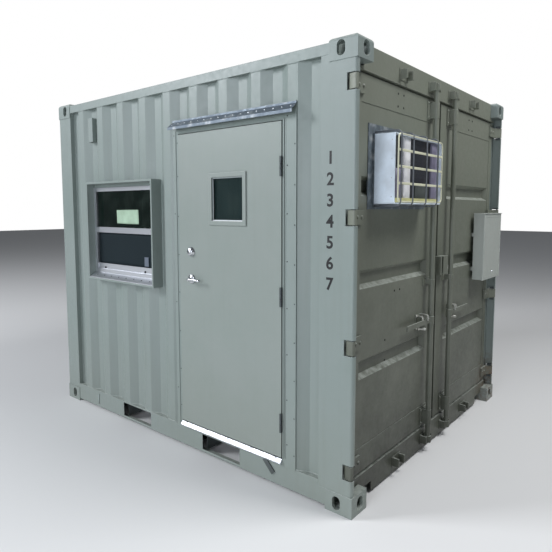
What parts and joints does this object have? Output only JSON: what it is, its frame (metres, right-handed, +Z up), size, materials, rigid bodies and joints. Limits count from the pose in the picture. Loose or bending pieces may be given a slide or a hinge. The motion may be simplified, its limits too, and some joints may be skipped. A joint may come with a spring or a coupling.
{
  "type": "shipping container cabin",
  "caption": "Short steel freight container made into a site cabin, with a cabin door, a window, wall air conditioning and cargo doors that open on lock rods.",
  "frame": {"origin": "centre of the base, level with the undersides of the four bottom corner castings", "axes": "+X towards the cargo doors, -Y towards the side with the cabin door and window, +Z up"},
  "size_m": [3.0915, 2.494, 2.591],
  "materials": {
    "painted_steel": "weathered satin grey-green marine paint",
    "underframe_steel": "matt dark underseal",
    "floor_timber": "oiled marine plywood",
    "galvanised_steel": "galvanised, spangled",
    "mill_aluminium": "mill finish",
    "clear_glass": "clear float glass",
    "satin_steel": "satin chrome",
    "black_rubber": "matt",
    "white_enamel": "white baked enamel",
    "cream_wire": "cream coated wire",
    "grey_enamel": "grey powder coat"
  },
  "bodies": {
    "shell": {"bottom_corner_castings": "painted_steel", "top_corner_castings": "painted_steel", "cargo_end_posts": "painted_steel", "blind_end_frame": "painted_steel", "top_side_rails": "painted_steel", "bottom_side_rails": "painted_steel", "cargo_end_header": "painted_steel", "cargo_end_sill": "painted_steel", "roof_panel": "painted_steel", "window_wall": "painted_steel", "wall_over_door": "painted_steel", "wall_beside_door": "painted_steel", "plain_side_wall": "painted_steel", "blind_end_wall": "painted_steel", "cross_members": "underframe_steel", "fork_pockets": "underframe_steel", "floor_boards": "floor_timber", "door_frame": "painted_steel", "drip_cap": "galvanised_steel", "threshold": "mill_aluminium", "window_surround": "painted_steel", "window_frame": "mill_aluminium", "window_glass": "clear_glass", "wall_vents": "painted_steel", "keepers": "painted_steel", "hinge_pins": "painted_steel"},
    "cabin_door": {"cabin_door": "painted_steel", "door_window_frame": "painted_steel", "door_window_glass": "clear_glass", "door_hardware": "satin_steel"},
    "door_lever": {"door_lever": "satin_steel"},
    "left_leaf": {"left_leaf_frame": "painted_steel", "left_leaf_panel": "painted_steel", "left_leaf_gasket": "black_rubber", "left_leaf_fittings": "painted_steel", "ac_mounting_angle": "galvanised_steel", "ac_cabinet": "white_enamel", "ac_guard": "cream_wire"},
    "left_rod": {"left_lock_rod": "painted_steel"},
    "right_leaf": {"right_leaf_frame": "painted_steel", "right_leaf_panel": "painted_steel", "right_leaf_gasket": "black_rubber", "right_leaf_fittings": "painted_steel", "power_box": "grey_enamel"},
    "right_rod": {"right_lock_rod": "painted_steel"}
  },
  "joints": [
    {"name": "cabin_door_hinge", "type": "hinge", "parent": "shell", "child": "cabin_door", "pos_m": [1.0025, -1.229, 1.2], "axis": [0, 0, 1], "range_deg": [0, 90]},
    {"name": "lever_turn", "type": "hinge", "parent": "cabin_door", "child": "door_lever", "pos_m": [0.214, -1.24, 1.226], "axis": [0, 1, 0], "range_deg": [0, 45], "stiffness_Nm_per_rad": 1},
    {"name": "left_leaf_hinge", "type": "hinge", "parent": "shell", "child": "left_leaf", "pos_m": [1.477, -1.201, 1.3], "axis": [0, 0, -1], "range_deg": [0, 180]},
    {"name": "left_rod_turn", "type": "hinge", "parent": "left_leaf", "child": "left_rod", "pos_m": [1.475, -0.168, 1.3], "axis": [0, 0, 1], "range_deg": [0, 100]},
    {"name": "right_leaf_hinge", "type": "hinge", "parent": "shell", "child": "right_leaf", "pos_m": [1.477, 1.201, 1.3], "axis": [0, 0, 1], "range_deg": [0, 180]},
    {"name": "right_rod_turn", "type": "hinge", "parent": "right_leaf", "child": "right_rod", "pos_m": [1.475, 0.168, 1.3], "axis": [0, 0, -1], "range_deg": [0, 100]}
  ]
}
